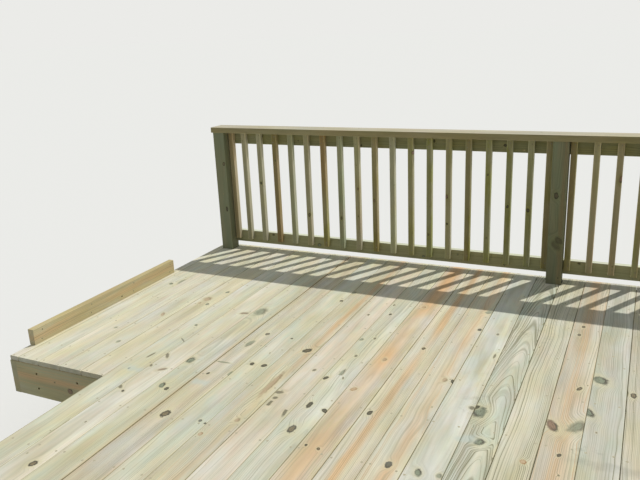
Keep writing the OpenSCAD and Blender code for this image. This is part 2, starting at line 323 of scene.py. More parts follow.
def knot_paint_group():
    """Paints a knot over the wood: a stained halo, a dark crescent at its rim, a ringed middle."""
    g, get, put = new_group(
        "Knot paint", "Colour:colour, At:vector, Distance, Tone, Bearing:vector, Halo:colour, "
        "Dark:colour, Depth, Faint", "Colour:colour, Body")
    tone, faint = get["Tone"], get["Faint"]
    grit = g.noise(get["At"], 260.0, 2.0) - 0.5
    distance = get["Distance"] + grit * 0.55
    off_along, off_across, size = g.split(get["Bearing"])
    colour = g.mix(g.fade(distance, 0.9, 2.6) * 0.45, get["Colour"], get["Halo"])
    rim_colour = g.mix(g.between(tone, 0.82, 0.88), get["Dark"], AMBER_RIM)
    reach = g.most(g.length(off_along, off_across) / size, 0.2)
    facing = (off_across * 0.8 + off_along * 0.5) / (size * reach)
    least = g.between(tone, 0.45, 0.55, 0.90, 0.32) * (1.0 - faint * 0.6)
    crescent = g.most(g.between(facing, -0.10, 0.80), least)
    turns = g.between(g.math("FRACT", distance * 2.7), 0.55, 0.95) * g.between(distance, 0.30, 0.55)
    checks = g.between(grit, 0.04, 0.16) * 0.50
    stripes = g.noise(g.vector("MULTIPLY", get["Bearing"], (55.0, 150.0, 900.0)), 1.0, 2.0)
    marks = g.most(turns * crescent * 0.85, checks, g.between(stripes, 0.50, 0.64) * 0.50)
    body_colour = g.mix(marks, g.ramp(tone, KNOT_TINTS), rim_colour)
    rim = g.between(distance, 0.50, 0.80) * g.fade(distance, 1.08, 1.26)
    body_colour = g.mix(rim * crescent, body_colour, rim_colour)
    # Faint, green and red knots have soft edges
    soft = g.most(faint * 0.32, g.between(tone, 0.45, 0.55) * g.fade(tone, 0.80, 0.84) * 0.16)
    body = g.fade(distance, 0.92 - soft, 1.22 + soft)
    depth = get["Depth"] * (1.0 - faint * 0.20)
    put["Colour"] = g.mix(body * depth, colour, body_colour)
    put["Body"] = body


# A band of dust and boot marks where something lay across the boards: its Y, the middle X and
# half width of each dusty stretch, and the middle X, inner and outer half width of the trodden one
BAND_LINE = 0.488
DUSTY_STRETCHES = ((-1.747, 0.060), (-1.480, 0.020), (-1.335, 0.028), (-0.085, 0.024))
TRODDEN_STRETCH = (0.52, 0.12, 0.32)


def scuffs_group():
    """Faint smudges left on the boards: grey from work boots, bluish from damp dust."""
    g, get, put = new_group("Scuffs", "Place:vector, Amount", "Boots, Dust")
    place = get["Place"]
    spots = g.noise(place, 17.0, 4.0, rough=0.65)
    boots = g.between(g.noise(place, 2.1, 3.0), 0.56, 0.74) * g.between(spots, 0.52, 0.72)
    haze = g.noise(g.vector("ADD", place, (7.0, 3.0, 0.0)), 1.6, 3.0, rough=0.6)
    dust = g.between(haze, 0.58, 0.74) * 0.8
    x, y = g.split(place)[:2]
    off = abs(y - BAND_LINE) + (g.noise(place, 22.0, 3.0) - 0.5) * 0.050
    some = g.between(g.noise(g.vector("ADD", place, (3.0, 11.0, 0.0)), 9.0, 3.0), 0.34, 0.58)
    band = g.fade(off, 0.008, 0.042) * some
    for middle, half in DUSTY_STRETCHES:
        dust = g.most(dust, band * g.between(abs(x - middle), half, half + 0.030, 1.7, 0.0))
    middle, inner, outer = TRODDEN_STRETCH
    boots = g.most(boots, band * g.between(abs(x - middle), inner, outer, 0.72, 0.0))
    put["Boots"] = boots * get["Amount"]
    put["Dust"] = dust * get["Amount"]


def treated_pine_group():
    """Treated pine: sapwood with mint, pink and straw patches, heartwood, rings and knots."""
    g, get, put = new_group(
        "Treated pine",
        "At:vector, Half:vector, Dice:vector, Tints:vector, Heart:vector, Lines:vector, "
        "Knot A:vector, Form A:vector, Knot B:vector, Form B:vector, Sapwood:colour, Mint:colour, "
        "Pink:colour, Straw:colour, Bleached:colour, Heartwood:colour, Late wood:colour, "
        "Knot:colour, Narrow side:colour, Cover, Mottle, Weather, Unevenness, Board change, "
        "Ring width, Grain, Pin knots, Edge light", "Colour:colour, Roughness, Height")
    at, half, dice = get["At"], get["Half"], get["Dice"]
    along, across = g.split(at)[:2]
    dice_a, dice_b, dice_c = g.split(dice)
    mint, pink, straw = g.split(get["Tints"])
    heart, heart_line, heart_width = g.split(get["Heart"])
    bold, rust, slope = g.split(get["Lines"])

    def placed(row, seed):
        return g.group("Placed knot", {
            "At": at, "Knot": get["Knot " + row], "Form": get["Form " + row], "Seed": seed})

    def patches(length, breadth, seed):
        return g.group("Tint patches", {
            "At": at, "Dice": dice, "Length": length, "Breadth": breadth, "Seed": seed,
            "Cover": get["Cover"]})["Mask"]

    def tinted(colour, tint, amount, mask):
        """Tints a whole board by its own share, and more strongly where the patches are."""
        return g.mix(amount * (0.30 + mask * 0.92), colour, get[tint])

    def swayed(colour, change, more, less):
        """Tints one way where a change is above nought, and another way where it is below."""
        colour = g.mix(g.most(change, 0.0), colour, get[more])
        return g.mix(g.most(change * -1.0, 0.0), colour, get[less])

    # The grain swells round each knot
    first, second = placed("A", dice_a), placed("B", dice_b)
    pins = g.group("Pin knots", {
        "At": at, "Dice": dice, "Least": 0.0014, "Largest": 0.0042, "Stretch": 0.36,
        "Slant": 0.6, "Width": g.split(half)[1] * 1.75, "Chance": get["Pin knots"]})
    push = (first["Swell"] + second["Swell"] + pins["Swell"]) * 0.85
    rings = g.group("Growth rings", {
        "At": at, "Dice": dice, "Ring width": get["Ring width"], "Slope": slope, "Push": push})

    # Tints of the whole board, then yellower and paler stretches, then small clouds
    straw_mask = patches(0.26, 0.070, 31.0)
    colour = tinted(get["Sapwood"], "Straw", g.most(straw, 0.0), straw_mask)
    colour = tinted(colour, "Bleached", g.most(straw * -1.0, 0.0), straw_mask)
    colour = tinted(colour, "Mint", mint, patches(0.20, 0.055, 3.0))
    colour = tinted(colour, "Pink", pink, patches(0.30, 0.050, 17.0))
    weather = g.drawn_out(at, 2.8, 9.0, 3.0, dice_c * 17.0, 0.55) - 0.5
    colour = swayed(colour, weather * get["Weather"], "Straw", "Bleached")
    cloud = g.drawn_out(at, 6.0, 26.0, 3.0, dice_c, 0.6) - 0.5
    colour = swayed(colour, cloud * get["Mottle"], "Mint", "Pink")

    # A streak of heartwood that wanders along some boards
    drift = (g.wander(along, 0.8, 0.0, 2.0, dice_b * 51.0) - 0.5) * 0.030
    ragged = g.drawn_out(at, 5.0, 90.0, 3.0, dice_a, 0.6) - 0.5
    aside = abs(across - heart_line + drift) + ragged * 0.034
    streak = g.fade(aside, heart_width * 0.10, heart_width)
    some = g.between(g.wander(along, 1.1, 0.0, 2.0, dice_c * 29.0), 0.36, 0.60, 0.25, 1.0)
    colour = g.mix(streak * some * heart, colour, get["Heartwood"])

    # Boards differ a little in how light they are
    slow = g.drawn_out(at, 2.2, 12.0, 3.0, dice_b, 0.6)
    lanes = g.drawn_out(at, 0.35, 28.0, 2.0, dice_a * 23.0)
    change = (slow + lanes * 0.7 - 0.85) * get["Unevenness"]
    colour = g.shaded(colour, (1.0 + (dice_a - 0.5) * get["Board change"]) * (1.0 + change))

    # Growth lines, bold on some boards, and the fibre between them
    fibre = g.drawn_out(at, 7.0, 380.0, 3.0, dice_a, 0.6)
    fine = fibre - 0.5
    faint = g.between(g.drawn_out(at, 1.2, 16.0, 2.0, dice_c), 0.32, 0.62, 0.40, 1.0)
    lines = g.most(rings["Late wood"] * (bold * faint), rings["Fine"] * (0.14 + bold * 0.25))
    colour = g.mix(g.math("MULTIPLY", lines, get["Grain"], clamp=True), colour, get["Late wood"])
    rare = g.between(rings["Year"], 0.86, 0.90) * rust
    colour = g.mix(rings["Late wood"] * rare * 0.60, colour, get["Heartwood"])
    colour = g.shaded(colour, 1.0 + fine * 0.22)

    bodies = []
    for found, knot_faint, depth in ((first, first["Faint"], 0.92), (second, second["Faint"], 0.92),
                                     (pins, 0.0, 0.70)):
        knot = g.group("Knot paint", {
            "Colour": colour, "At": at, "Distance": found["Distance"], "Tone": found["Tone"],
            "Bearing": found["Bearing"], "Halo": get["Straw"], "Dark": get["Knot"],
            "Depth": depth, "Faint": knot_faint})
        colour = knot["Colour"]
        bodies.append(knot["Body"])
    knots = g.most(*bodies)

    # Short drying splits and pitch streaks
    thin = g.drawn_out(at, 2.4, 240.0, 1.0, dice_c * 13.0)
    where = g.drawn_out(at, 2.0, 14.0, 1.0, dice_b)
    split = g.between(thin, 0.70, 0.76) * g.between(where, 0.56, 0.66)
    colour = g.mix(split * 0.55, colour, get["Knot"])

    edges = g.group("Board edges", {"At": at, "Half": half, "Reach": 0.006})
    # Painted light on the narrow sides: a painted highlight where the value is above one, on the rails' top
    # and bottom faces and the balusters' sides, and painted shade where it is below one, on the deck
    # boards' sides in their gaps, the cap's front and back and the framing's narrow faces
    colour = g.mix(edges["Narrow"], colour, g.mix(1.0, colour, get["Narrow side"], "MULTIPLY"))
    colour = g.mix(edges["End"] * 0.35, colour, get["Late wood"])
    # A painted highlight along the rounded long edges
    put["Colour"] = g.shaded(colour, 1.0 + edges["Edge"] * get["Edge light"])
    put["Height"] = rings["Late wood"] * 0.5 - split * 1.6 + fine * 0.5 - knots * 0.5
    put["Roughness"] = 0.68 + fibre * 0.16 - knots * 0.16


placed_knot_group()
pin_knots_group()
growth_rings_group()
tint_patches_group()
board_edges_group()
knot_paint_group()
scuffs_group()
treated_pine_group()


# Finishes

# The values of each wood finish, which start from those of the deck boards
DECKING = {
    "Sapwood": (0.700, 0.655, 0.495, 1), "Mint": (0.575, 0.645, 0.528, 1),
    "Pink": (0.730, 0.570, 0.435, 1), "Straw": (0.650, 0.600, 0.375, 1),
    "Bleached": (0.700, 0.688, 0.625, 1), "Heartwood": (0.720, 0.458, 0.238, 1),
    "Late wood": (0.240, 0.232, 0.145, 1), "Knot": (0.035, 0.032, 0.020, 1), "Cover": 0.62,
    "Mottle": 1.40, "Weather": 4.0, "Unevenness": 0.62, "Board change": 0.16,
    "Ring width": 0.0052, "Grain": 1.15, "Pin knots": 0.35,
    # Painted shade on the sides in the gaps, and a faint painted highlight on the edges
    "Edge light": 0.05, "Narrow side": (0.85, 0.83, 0.74, 1),
}
# The guard's pine is greener than the deck's, and darker besides as painted shade for its faces towards the
# deck, which stand in shadow
SHADED_POSTS = DECKING | {
    "Sapwood": (0.190, 0.212, 0.128, 1), "Mint": (0.145, 0.186, 0.122, 1),
    "Pink": (0.225, 0.210, 0.125, 1), "Straw": (0.200, 0.210, 0.096, 1),
    "Bleached": (0.200, 0.225, 0.150, 1), "Heartwood": (0.230, 0.165, 0.080, 1),
    "Late wood": (0.100, 0.104, 0.056, 1), "Mottle": 1.0, "Weather": 1.6,
    # A painted highlight on the edges
    "Unevenness": 0.40, "Pin knots": 0.50, "Edge light": 0.25, "Narrow side": (1, 1, 1, 1),
}
SHADED_RAILS = SHADED_POSTS | {
    "Sapwood": (0.310, 0.300, 0.170, 1), "Mint": (0.235, 0.265, 0.145, 1),
    "Pink": (0.345, 0.290, 0.160, 1), "Straw": (0.310, 0.290, 0.120, 1),
    # A painted highlight on the narrow top and bottom faces
    "Bleached": (0.320, 0.315, 0.200, 1), "Narrow side": (1.75, 1.88, 2.70, 1),
}
SHADED_BALUSTERS = SHADED_RAILS | {
    "Sapwood": (0.360, 0.335, 0.205, 1), "Mint": (0.290, 0.320, 0.185, 1),
    "Pink": (0.375, 0.285, 0.155, 1), "Straw": (0.255, 0.250, 0.058, 1),
    "Bleached": (0.365, 0.350, 0.235, 1), "Heartwood": (0.330, 0.215, 0.080, 1),
    "Board change": 0.20, "Ring width": 0.005,
    # A painted highlight on the sides, and a strong one on the edges
    "Edge light": 0.55, "Narrow side": (1.60, 1.64, 1.98, 1),
}
CAP = DECKING | {
    "Sapwood": (0.520, 0.485, 0.360, 1), "Mint": (0.450, 0.480, 0.350, 1),
    "Pink": (0.560, 0.470, 0.350, 1), "Straw": (0.500, 0.455, 0.270, 1),
    "Bleached": (0.520, 0.505, 0.410, 1), "Heartwood": (0.520, 0.360, 0.190, 1),
    # Painted shade on the front and back faces, and a painted highlight on the edges
    "Narrow side": (0.58, 0.55, 0.38, 1), "Edge light": 0.10,
}
FRAMING = DECKING | {
    "Sapwood": (0.470, 0.440, 0.275, 1), "Mint": (0.370, 0.400, 0.240, 1),
    "Pink": (0.490, 0.400, 0.255, 1), "Straw": (0.460, 0.415, 0.220, 1),
    "Bleached": (0.480, 0.460, 0.330, 1), "Late wood": (0.250, 0.220, 0.120, 1),
}
SILL = DECKING | {
    "Sapwood": (0.660, 0.570, 0.345, 1), "Pink": (0.660, 0.490, 0.260, 1),
    "Straw": (0.600, 0.520, 0.265, 1), "Bleached": (0.640, 0.590, 0.420, 1),
}

# What each finish's random boards draw from: the chance of heartwood, the share of bold grain
# and how strongly they are tinted, then the mean run between knots and their least and largest radius
DRAWS = {
    "decking": ((0.35, 0.30, 0.8), (0.55, 0.005, 0.020)),
    "posts": ((0.20, 0.30, 0.6), (0.30, 0.005, 0.022)),
    "rails": ((0.30, 0.30, 0.6), (0.55, 0.004, 0.013)),
    "balusters": ((0.35, 0.30, 1.0), (0.55, 0.003, 0.010)),
    "cap": ((0.30, 0.20, 0.5), (0.70, 0.004, 0.013)),
    "framing": ((0.30, 0.40, 0.7), (0.45, 0.005, 0.022)),
    "sill": ((0.0, 0.30, 0.4), (0.60, 0.004, 0.012)),
}

# What a board's faces carry for its finish, by the names of the finish's inputs
FACE_GRAIN = ("Half", "Dice", "Tints", "Heart", "Lines", "Knot A", "Form A", "Knot B", "Form B")


def grain_name(socket):
    return "grain_" + socket.lower().replace(" ", "_")


def new_material(name):
    """An empty material and its graph."""
    material = bpy.data.materials.new(name)
    material.use_nodes = True
    material.node_tree.nodes.clear()
    return material, Graph(material.node_tree)


def finish_surface(g, height, values, distance, strength):
    """Ends a material: its bump, its shader with the given values, and its output."""
    bump = g.add("ShaderNodeBump", {"Height": height, "Distance": distance, "Strength": strength})
    shader = g.add("ShaderNodeBsdfPrincipled", values | {"Normal": bump[0]})
    g.add("ShaderNodeOutputMaterial", {"Surface": shader[0]})


def pine(name, values, scuffs=0.0):
    """A wood finish that reads the grain attributes of the lumber."""
    material, g = new_material(name)
    grain = {socket: g.add("ShaderNodeAttribute", attribute_name=grain_name(socket))["Vector"]
             for socket in ("At", *FACE_GRAIN)}
    wood = g.group("Treated pine", grain | values)
    colour = wood["Colour"]
    if scuffs:
        place = g.add("ShaderNodeTexCoord")["Object"]
        marks = g.group("Scuffs", {"Place": place, "Amount": scuffs})
        colour = g.mix(marks["Dust"], colour, (0.520, 0.590, 0.540, 1))
        colour = g.mix(marks["Boots"], colour, (0.210, 0.215, 0.180, 1))
    finish_surface(g, wood["Height"], {
        "Base Color": colour, "Roughness": wood["Roughness"], "Specular IOR Level": 0.30},
        distance=0.0005, strength=0.6)
    return material


def zinc(name, colour, rough, stain=(0.33, 0.32, 0.30, 1), metallic=0.85):
    """Zinc-coated steel with its faint spangle and dull spots."""
    material, g = new_material(name)
    place = g.add("ShaderNodeTexCoord")["Object"]
    flakes = g.add("ShaderNodeTexVoronoi", {"Vector": place, "Scale": 160.0})["Color"]
    flake = g.split(flakes)[0]
    dull = g.between(g.noise(place, 24.0, 3.0), 0.42, 0.66)
    tint = g.mix(dull * 0.35, g.shaded(colour, 0.88 + flake * 0.16), stain)
    finish_surface(g, flake, {
        "Base Color": tint, "Roughness": rough + dull * 0.22, "Metallic": metallic},
        distance=0.00005, strength=0.4)
    return material


def crushed_and_shaded_pine(name, colour, edge):
    """Wood fibre crushed round a fastener's head, darkened besides as painted shade of its countersink."""
    material, g = new_material(name)
    grit = g.noise(g.add("ShaderNodeTexCoord")["Object"], 700.0, 3.0)
    tint = g.mix(g.between(grit, 0.35, 0.70), colour, edge)
    finish_surface(g, grit, {"Base Color": tint, "Roughness": 0.85}, distance=0.0002, strength=0.6)
    return material


FINISHES = {
    "decking": pine("Deck board pine", DECKING, scuffs=0.35),
    "posts": pine("Guard post pine", SHADED_POSTS),
    "rails": pine("Rail pine", SHADED_RAILS),
    "balusters": pine("Baluster pine", SHADED_BALUSTERS),
    "cap": pine("Cap pine", CAP, scuffs=0.15),
    "framing": pine("Framing pine", FRAMING),
    "sill": pine("Sill pine", SILL),
    "galvanized": zinc("Galvanized sheet", (0.52, 0.54, 0.55, 1), 0.36),
}
SCREW_METAL = zinc("Coated deck screw", (0.480, 0.440, 0.310, 1), 0.50, (0.32, 0.28, 0.19, 1), 0.30)
NAIL_METAL = zinc("Weathered nail", (0.28, 0.26, 0.19, 1), 0.60, (0.20, 0.18, 0.12, 1), 0.30)
BOLT_METAL = zinc("Zinc bolt", (0.50, 0.51, 0.52, 1), 0.38)
CRUSH_AND_SHADE = crushed_and_shaded_pine("Crushed fibre", (0.420, 0.385, 0.270, 1), (0.560, 0.520, 0.380, 1))


# Lumber

# Points nearer than this are one, in metres, and edges flatter or sharper than these, in
# degrees, are dissolved or kept sharp
MERGE, FLAT, SHARP = 1e-6, 0.5, 60
# How much a face's size counts, from 1 to 100, in the shading of the edges round it
FACE_WEIGHT = 90
# How far round a deck board's long edges reach, and how far each edge and its face stand from
# the even spacing, in metres
EDGE_ROUND = 0.0045
GAP_CHANGE = (0.0002, 0.0012)
RISE_CHANGE = (-0.0005, 0.0005)
# The gap beside the third whole board is open wider: node, place in it, side
OPEN_EDGES = {("decking_left", 2): 1, ("decking_left", 3): 0}
OPEN_EDGE = -0.0012
# How boards are drawn: the tints' range, the heartwood's strength, place and width, the growth
# lines of a bold board and of a plain one, the share with rusty lines, and the rings' most slope
TINT_RANGE = (-0.9, 1.0)
HEART_STRENGTHS, HEART_ASIDE, HEART_WIDTHS = (0.45, 0.9), 0.03, (0.018, 0.040)
BOLD_LINES, PLAIN_LINES = 1.15, (0.35, 0.65)
RUSTY_SHARE, MOST_SLOPE = 0.3, 0.03
# How knots are drawn: the first run and the next ones as shares of the mean run, how strongly
# small ones prevail, how far they lie aside, turn and stretch, their tones, with 1 added for a
# faint one, and how near an end none is drawn
FIRST_RUN, NEXT_RUNS = (0.1, 0.9), (0.35, 1.7)
SMALL_PREVAIL = 2.4
KNOT_ASIDE, KNOT_TURN, KNOT_STRETCHES = 0.85, 0.5, (1.1, 1.9)
DRAWN_TONES = (0.02, 0.15, 0.30, 0.40, 0.55, 0.66, 0.78, 0.95, 1.40, 1.60)
END_CLEAR = 0.03
# The least run between neighbour knots of the first row and of the second, and the place and
# form of a knot that is too far off to show
ROW_ROOM = (0.16, 0.03)
NO_KNOT = ((50.0, 50.0, 0.00001), (0.0, 0.0, 1.0))


def in_scene(name, data):
    """A new object in the scene."""
    piece = bpy.data.objects.new(name, data)
    bpy.context.scene.collection.objects.link(piece)
    return piece


def keep(piece, slot, *nodes):
    """Sets a finished piece's body and hides the nodes that it stands for. Its slot is not used."""
    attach(piece, "root")
    if nodes:
        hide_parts(*nodes)


def baked(blank, name):
    """Turns an object and its modifiers into a new plain mesh object, and removes the first."""
    view = bpy.context.evaluated_depsgraph_get()
    mesh = bpy.data.meshes.new_from_object(blank.evaluated_get(view))
    mesh.name = name
    bpy.data.objects.remove(blank)
    return in_scene(name, mesh)


def set_attribute(mesh, name, domain, values, kind="FLOAT_VECTOR"):
    attribute = mesh.attributes.new(name, kind, domain)
    attribute.data.foreach_set("value" if kind == "FLOAT" else "vector", values)


def islands(shape):
    """The separate solids of a mesh, as lists of vertices."""
    waiting = set(shape.verts)
    while waiting:
        solid, reached = [], [waiting.pop()]
        while reached:
            vertex = reached.pop()
            solid.append(vertex)
            for edge in vertex.link_edges:
                other = edge.other_vert(vertex)
                if other in waiting:
                    waiting.discard(other)
                    reached.append(other)
        yield solid


def corners(vertices):
    low = Vector([min(v.co[i] for v in vertices) for i in range(3)])
    high = Vector([max(v.co[i] for v in vertices) for i in range(3)])
    return low, high


def centre(box):
    return (box[0] + box[1]) / 2


class Board:
    """A solid's own frame: along the grain, across it and through it, from its middle."""

    def __init__(self, solid, turned):
        self.low, self.high = corners(solid)
        self.middle, half = centre((self.low, self.high)), (self.high - self.low) / 2
        self.axes = sorted(range(3), key=lambda i: -round(half[i], 4))
        self.half = Vector([half[i] for i in self.axes])
        self.turned = turned

    def own(self, point):
        """A point in the board's own frame."""
        off = point - self.middle
        return Vector([off[self.axes[0]] * self.turned, off[self.axes[1]], off[self.axes[2]]])

    def at(self, along):
        """The point of the board's middle line at a run along it."""
        point = self.middle.copy()
        point[self.axes[0]] += along * self.turned
        return point


def swell(vertices, board, sides, rise):
    """Moves a deck board's two long edges out by sides, and the whole board up by rise."""
    for vertex in vertices:
        if vertex.co.x < board.low.x + EDGE_ROUND:
            vertex.co.x -= sides[0]
        elif vertex.co.x > board.high.x - EDGE_ROUND:
            vertex.co.x += sides[1]
        vertex.co.z += rise


def looks(random, slot, given):
    """A board's dice, tints, heartwood and growth lines: drawn, or as given for this board."""
    chance, bold, tinted = DRAWS[slot][0]
    dice = [random.random() for _ in range(3)]
    drawn = {
        "Tints": [max(0.0, random.uniform(*TINT_RANGE)) * tinted for _ in range(3)],
        "Heart": (random.uniform(*HEART_STRENGTHS) if random.random() < chance else 0.0,
                  random.uniform(-HEART_ASIDE, HEART_ASIDE), random.uniform(*HEART_WIDTHS)),
        "Lines": (BOLD_LINES if random.random() < bold else random.uniform(*PLAIN_LINES),
                  1.0 if random.random() < RUSTY_SHARE else 0.0,
                  random.uniform(-1, 1) ** 3 * MOST_SLOPE),
    } | given
    light, pith = drawn.pop("Light", dice[0]), drawn.pop("Pith", None)
    return drawn | {"Dice": (light, *(pith or dice[1:]))}


def drawn_knots(random, half, slot):
    """Knots at uneven runs along a board: along, across, radius, kind, turn and stretch."""
    run, least, largest = DRAWS[slot][1]
    knots, place = [], -half[0] + random.uniform(*FIRST_RUN) * run
    while place < half[0] - END_CLEAR:
        radius = least + (largest - least) * random.random() ** SMALL_PREVAIL
        knots.append((place, random.uniform(-KNOT_ASIDE, KNOT_ASIDE) * half[1], radius,
                      random.choice(DRAWN_TONES), random.uniform(-KNOT_TURN, KNOT_TURN),
                      random.uniform(*KNOT_STRETCHES)))
        place += run * random.uniform(*NEXT_RUNS)
    return knots


def board_knots(board, random, slot):
    """A board's knots: those drawn for it where the photograph doesn't show it, and those shown."""
    knots = drawn_knots(random, board.half, slot)
    if slot in SEEN_AREA:
        low, high = SEEN_AREA[slot]
        knots = [knot for knot in knots
                 if not all(low[i] < board.at(knot[0])[i] < high[i] for i in range(3))]
    for x, other, radius, stretch, kind, turn in SEEN_KNOTS.get(slot, ()):
        place = Vector((x, other, DECK_TOP) if slot == "decking" else (x, GUARD_LINE, other))
        inside = all(board.low[i] < place[i] < board.high[i] for i in board.axes[:2])
        if inside and abs((place - board.middle)[board.axes[2]]) < FACE_REACH:
            spot = board.own(place)
            knots.append((spot.x, spot.y, radius, KNOT_KINDS[kind], turn * board.turned, stretch))
    return knots


def in_two_rows(knots):
    """Shares knots between two rows, so that neighbours in a row are well apart."""
    rows = ([], [])
    for knot in sorted(knots):
        for row, room in zip(rows, ROW_ROOM):
            if not row or knot[0] - row[-1][0] > room:
                row.append(knot)
                break
    return rows


def nearest(row, along):
    """The place and form of the knot of a row that serves the stretch round a run along a board."""
    if not row:
        return NO_KNOT
    knot = min(row, key=lambda k: abs(k[0] - along))
    return knot[:3], knot[3:]


def cut_between(board, solid, rows):
    """One board on its own, cut across between its knots."""
    shape = bmesh.new()
    new = {vertex: shape.verts.new(vertex.co) for vertex in solid}
    for face in {face for vertex in solid for face in vertex.link_faces}:
        shape.faces.new([new[vertex] for vertex in face.verts])
    way = Vector([float(i == board.axes[0]) for i in range(3)])
    for row in rows:
        for left, right in zip(row, row[1:]):
            bmesh.ops.bisect_plane(shape, geom=shape.verts[:] + shape.edges[:] + shape.faces[:],
                                   plane_co=board.at((left[0] + right[0]) / 2), plane_no=way)
    shape.verts.index_update()
    return shape


def lumber(node, slot):
    """Dresses a node's solids as boards, each with its own grain, and returns their boxes."""
    shape = bmesh.new()
    shape.from_mesh(frame["nodes"][node].data)
    bmesh.ops.remove_doubles(shape, verts=shape.verts, dist=MERGE)
    bmesh.ops.dissolve_limit(shape, angle_limit=radians(FLAT), verts=shape.verts, edges=shape.edges)
    solids = sorted(islands(shape), key=lambda solid: tuple(round(c, 4) for c in corners(solid)[0]))
    random = Random(node)
    marks = MARKED_BOARDS.get(node, ())
    boxes, points, faces, at = [], [], [], []
    grain = {socket: [] for socket in FACE_GRAIN}
    for place, solid in enumerate(solids):
        board = Board(solid, random.choice((-1, 1)))
        own = looks(random, slot, marks[place] if place < len(marks) else {})
        own["Half"] = board.half
        rows = in_two_rows(board_knots(board, random, slot))
        part = cut_between(board, solid, rows)
        first = len(points)
        at += [c for vertex in part.verts for c in board.own(vertex.co)]
        for face in part.faces:
            faces.append([first + vertex.index for vertex in face.verts])
            along = board.own(face.calc_center_median()).x
            own["Knot A"], own["Form A"] = nearest(rows[0], along)
            own["Knot B"], own["Form B"] = nearest(rows[1], along)
            for socket, values in grain.items():
                values.extend(own[socket])
        if slot == "decking":
            sides = [random.uniform(*GAP_CHANGE), random.uniform(*GAP_CHANGE)]
            if (node, place) in OPEN_EDGES:
                sides[OPEN_EDGES[node, place]] = OPEN_EDGE
            swell(part.verts, board, sides, random.uniform(*RISE_CHANGE))
        boxes.append(corners(part.verts))
        points += [vertex.co.copy() for vertex in part.verts]
        part.free()
    shape.free()

    mesh = bpy.data.meshes.new(node + "_boards")
    mesh.from_pydata(points, [], faces)
    set_attribute(mesh, grain_name("At"), "POINT", at)
    for socket, values in grain.items():
        set_attribute(mesh, grain_name(socket), "FACE", values)
    mesh.polygons.foreach_set("use_smooth", [True] * len(faces))
    mesh.set_sharp_from_angle(angle=radians(SHARP))
    blank = in_scene(node + "_boards", mesh)
    rounded = blank.modifiers.new("Rounded edges", "WEIGHTED_NORMAL")
    rounded.keep_sharp = True
    rounded.weight = FACE_WEIGHT
    piece = baked(blank, node + "_lumber")
    piece.data.materials.clear()
    piece.data.materials.append(FINISHES[slot])
    keep(piece, slot, node)
    return boxes


def marked(mint=0.0, pink=0.0, straw=0.0, heart=(0.0, 0.0, 0.02), bold=0.5, rust=0.0, slope=0.003,
           light=0.5, pith=None):
    """Looks of one board. Light is 0.5 where plain, and the pith's place runs 0 to 1 each way."""
    return {"Tints": (mint, pink, straw), "Heart": heart, "Lines": (bold, rust, slope), "Light": light,
            "Pith": pith}


